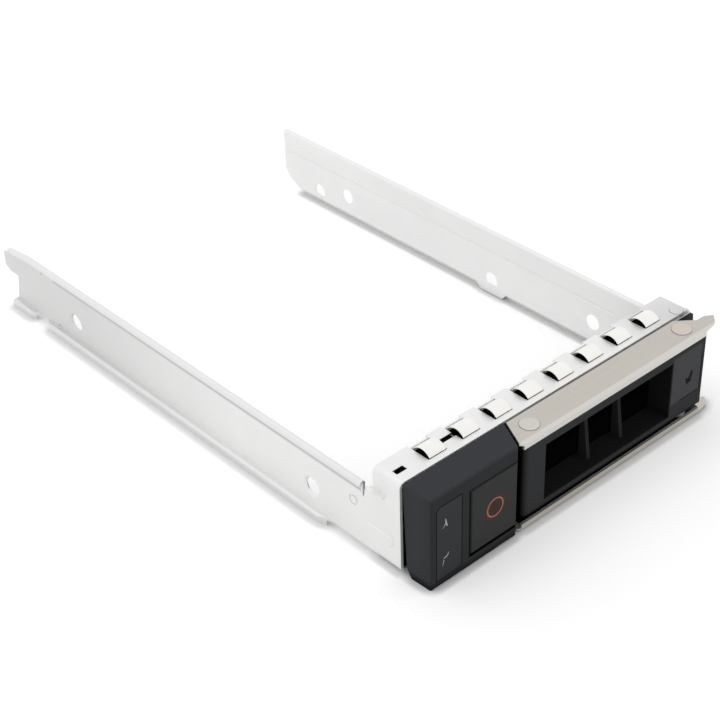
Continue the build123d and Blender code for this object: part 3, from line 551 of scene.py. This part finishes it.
def dress(name):
    """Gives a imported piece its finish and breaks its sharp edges."""
    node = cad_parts[name]
    node.data.materials.clear()
    node.data.materials.append(finishes[node_finish[name]])
    node.data.shade_smooth()
    weld = node.modifiers.new("weld", "WELD")
    weld.merge_threshold = WELD_DISTANCE
    bevel = node.modifiers.new("broken_edges", "BEVEL")
    bevel.width = node_edge.get(name, USUAL_EDGE) * MM
    bevel.segments = 2
    bevel.limit_method = "ANGLE"
    bevel.angle_limit = SHARP_ANGLE
    even = node.modifiers.new("even_shading", "WEIGHTED_NORMAL")
    even.weight = 70


for node_name in node_finish:
    dress(node_name)


# Printed marks on the window, on the button's ring and on the handle

def draw_stroke(shape, points, widths):
    """Pulls one short edge along points, so that it leaves a flat line of varying width."""
    places = [Vector((x, 0, z)) for x, z in points]
    edge = None
    for index, place in enumerate(places):
        before = places[max(index - 1, 0)]
        after = places[min(index + 1, len(places) - 1)]
        along = (after - before).normalized()
        across = Vector((-along.z, 0, along.x)) * widths[index] / 2
        if edge is None:
            edge = shape.edges.new([shape.verts.new(place - across), shape.verts.new(place + across)])
            continue
        pulled = bmesh.ops.extrude_edge_only(shape, edges=[edge])["geom"]
        ends = {item for item in pulled if isinstance(item, bmesh.types.BMVert)}
        edges = (item for item in pulled if isinstance(item, bmesh.types.BMEdge))
        edge = next(item for item in edges if set(item.verts) == ends)
        low, high = edge.verts
        low.co, high.co = place - across, place + across


def print_mark(name, strokes, centre, finish, body):
    """A thin printed mark made of strokes, given in millimetres round its centre on a front face."""
    shape = bmesh.new()
    for points, widths in strokes:
        draw_stroke(shape, points, widths)
    made = bmesh.ops.extrude_face_region(shape, geom=list(shape.faces))["geom"]
    front = [item for item in made if isinstance(item, bmesh.types.BMVert)]
    bmesh.ops.translate(shape, verts=front, vec=(0, -PRINT_HEIGHT, 0))
    bmesh.ops.scale(shape, verts=shape.verts, vec=(MM, MM, MM))
    bmesh.ops.translate(shape, verts=shape.verts, vec=centre)
    bmesh.ops.recalc_face_normals(shape, faces=shape.faces)
    mesh = bpy.data.meshes.new(name)
    shape.to_mesh(mesh)
    shape.free()
    mesh.materials.append(finishes[finish])
    piece = bpy.data.objects.new(name, mesh)
    bpy.context.scene.collection.objects.link(piece)
    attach(piece, body)


def round_stroke(radius, width, parts=48):
    """The points of a closed circle, for one stroke of even width."""
    turns = [2 * math.pi * part / parts for part in range(parts + 1)]
    return [(radius * math.cos(turn), radius * math.sin(turn)) for turn in turns], [width] * (parts + 1)


# The strokes of each mark: its points, across and up from the centre, then the width at each point
pulse = [
    ([(-1.1, -0.95), (-0.35, -0.5), (-0.05, 0.1)], [0.05, 0.2, 0.26]),
    ([(0.0, 1.45), (0.12, 0.5), (0.3, -0.3), (0.62, -1.0)], [0.16, 0.42, 0.46, 0.14]),
]
spanner = [
    ([(-0.95, -2.0), (-0.75, -1.1), (-0.5, -0.35)], [0.06, 0.2, 0.26]),
    ([(-0.7, 0.05), (-0.25, 0.25), (0.35, 0.35), (0.75, 0.7), (1.0, 1.3)], [0.12, 0.3, 0.3, 0.32, 0.12]),
]
curved_arrow = [
    ([(1.2, 1.9), (1.15, 1.0), (0.85, 0.2), (0.2, -0.45)], [0.6, 1.15, 1.25, 1.2]),
    ([(0.2, -0.3), (-0.7, -1.8)], [3.3, 0.1]),
]
ring_line = [round_stroke(2.58, 0.42)]

upper_front = (upper_pipe.x, window_low.y, upper_pipe.z)
lower_front = (lower_pipe.x, window_low.y, lower_pipe.z)
ring_front = (ring_centre.x, ring_low.y, ring_centre.z)
panel_front = (body_high.x - 6.0 * MM, block_front, body_low.z + 12.1 * MM)
print_mark("upper_pictogram", pulse, upper_front, "pale", "carrier")
print_mark("lower_pictogram", spanner, lower_front, "pale", "carrier")
print_mark("ring_line", ring_line, ring_front, "orange", "button")
print_mark("swing_arrow", curved_arrow, panel_front, "ink", "handle")


# Studio

def camera_at(place, azimuth, elevation, roll, lens):
    """A camera that looks along an azimuth, down by an elevation."""
    data = bpy.data.cameras.new("camera")
    data.lens = lens
    data.sensor_width = 36.0
    data.clip_start = 0.01
    camera = bpy.data.objects.new("camera", data)
    turn = Matrix.Rotation(-azimuth, 4, "Z") @ Matrix.Rotation(math.radians(90) - elevation, 4, "X")
    camera.matrix_world = Matrix.Translation(place) @ turn @ Matrix.Rotation(-roll, 4, "Z")
    bpy.context.scene.collection.objects.link(camera)
    bpy.context.scene.camera = camera


def seen_directly(tree):
    """One where a surface is seen, also in a reflection or through clear plastic, and zero in other light."""
    path = tree.nodes.new("ShaderNodeLightPath")
    seen = path.outputs["Is Camera Ray"]
    for ray in ("Is Glossy Ray", "Is Transmission Ray"):
        either = tree.nodes.new("ShaderNodeMath")
        either.operation = "MAXIMUM"
        tree.links.new(seen, either.inputs[0])
        tree.links.new(path.outputs[ray], either.inputs[1])
        seen = either.outputs["Value"]
    return seen


def white_floor(colour, near_level, far_level):
    """A pale floor with a glow that is seen but lights nothing: it rises far off, and fades at a contact into
    a painted contact shadow.
    """
    mesh = bpy.data.meshes.new("floor")
    shape = bmesh.new()
    bmesh.ops.create_grid(shape, x_segments=1, y_segments=1, size=FLOOR_REACH)
    shape.to_mesh(mesh)
    shape.free()
    plane = bpy.data.objects.new("floor", mesh)
    bpy.context.scene.collection.objects.link(plane)
    material = bpy.data.materials.new("floor_white")
    material.use_nodes = True
    tree = material.node_tree
    tree.nodes.clear()
    links, add = tree.links, adder(tree)

    # Painted contact shadow: the glow fades with the occlusion round the carrier
    open_air = add("ShaderNodeAmbientOcclusion", Distance=CONTACT_REACH)
    deepened = add("ShaderNodeMath", operation="POWER")
    deepened.inputs[1].default_value = CONTACT_POWER
    painted_contact_shadow = add("ShaderNodeMath", operation="MULTIPLY")
    links.new(open_air.outputs["AO"], deepened.inputs[0])
    links.new(seen_directly(tree), painted_contact_shadow.inputs[0])
    links.new(deepened.outputs["Value"], painted_contact_shadow.inputs[1])

    coordinates = add("ShaderNodeTexCoord")
    distance = add("ShaderNodeVectorMath", operation="LENGTH")
    level = add("ShaderNodeMapRange", **{"From Min": GLOW_NEAR, "From Max": GLOW_FAR})
    level.inputs["To Min"].default_value = near_level
    level.inputs["To Max"].default_value = far_level
    links.new(coordinates.outputs["Object"], distance.inputs[0])
    links.new(distance.outputs["Value"], level.inputs["Value"])

    strength = add("ShaderNodeMath", operation="MULTIPLY")
    glow = add("ShaderNodeEmission")
    matt = add("ShaderNodeBsdfDiffuse", Color=(*colour, 1))
    both = add("ShaderNodeAddShader")
    output = add("ShaderNodeOutputMaterial")
    links.new(painted_contact_shadow.outputs["Value"], strength.inputs[0])
    links.new(level.outputs["Result"], strength.inputs[1])
    links.new(strength.outputs["Value"], glow.inputs["Strength"])
    links.new(matt.outputs["BSDF"], both.inputs[0])
    links.new(glow.outputs["Emission"], both.inputs[1])
    links.new(both.outputs["Shader"], output.inputs["Surface"])
    mesh.materials.append(material)


def studio_world(level):
    """Soft even light, with a white background for the camera and for reflections."""
    world = bpy.data.worlds.new("studio")
    bpy.context.scene.world = world
    world.use_nodes = True
    tree = world.node_tree
    background = tree.nodes["Background"]
    background.inputs["Color"].default_value = (1, 1, 1, 1)
    strength = spread(tree.links, adder(tree), seen_directly(tree), level, 1.0)
    tree.links.new(strength, background.inputs["Strength"])


def lamp(name, place, target, size, power):
    """A soft square lamp that points at the carrier and isn't seen in reflections."""
    data = bpy.data.lights.new(name, "AREA")
    data.size = size
    data.energy = power
    light = bpy.data.objects.new(name, data)
    light.location = place
    light.visible_glossy = False
    light.rotation_euler = (Vector(target) - Vector(place)).to_track_quat("-Z", "Y").to_euler()
    bpy.context.scene.collection.objects.link(light)


camera_at(
    place=Vector((-0.24575, -0.28914, 0.25927)),
    azimuth=math.radians(41.17),
    elevation=math.radians(34.72),
    roll=math.radians(1.967),
    lens=81.52,
)
white_floor(colour=(0.80, 0.80, 0.80), near_level=0.355, far_level=0.53)
studio_world(level=0.6)
lamp("key", place=(-0.35, 0.45, 0.95), target=(0, -0.03, 0), size=1.5, power=5.6)
lamp("fill", place=(0.6, -0.7, 0.6), target=(0, -0.05, 0), size=1.0, power=1.2)

bpy.context.scene.view_settings.view_transform = "Standard"
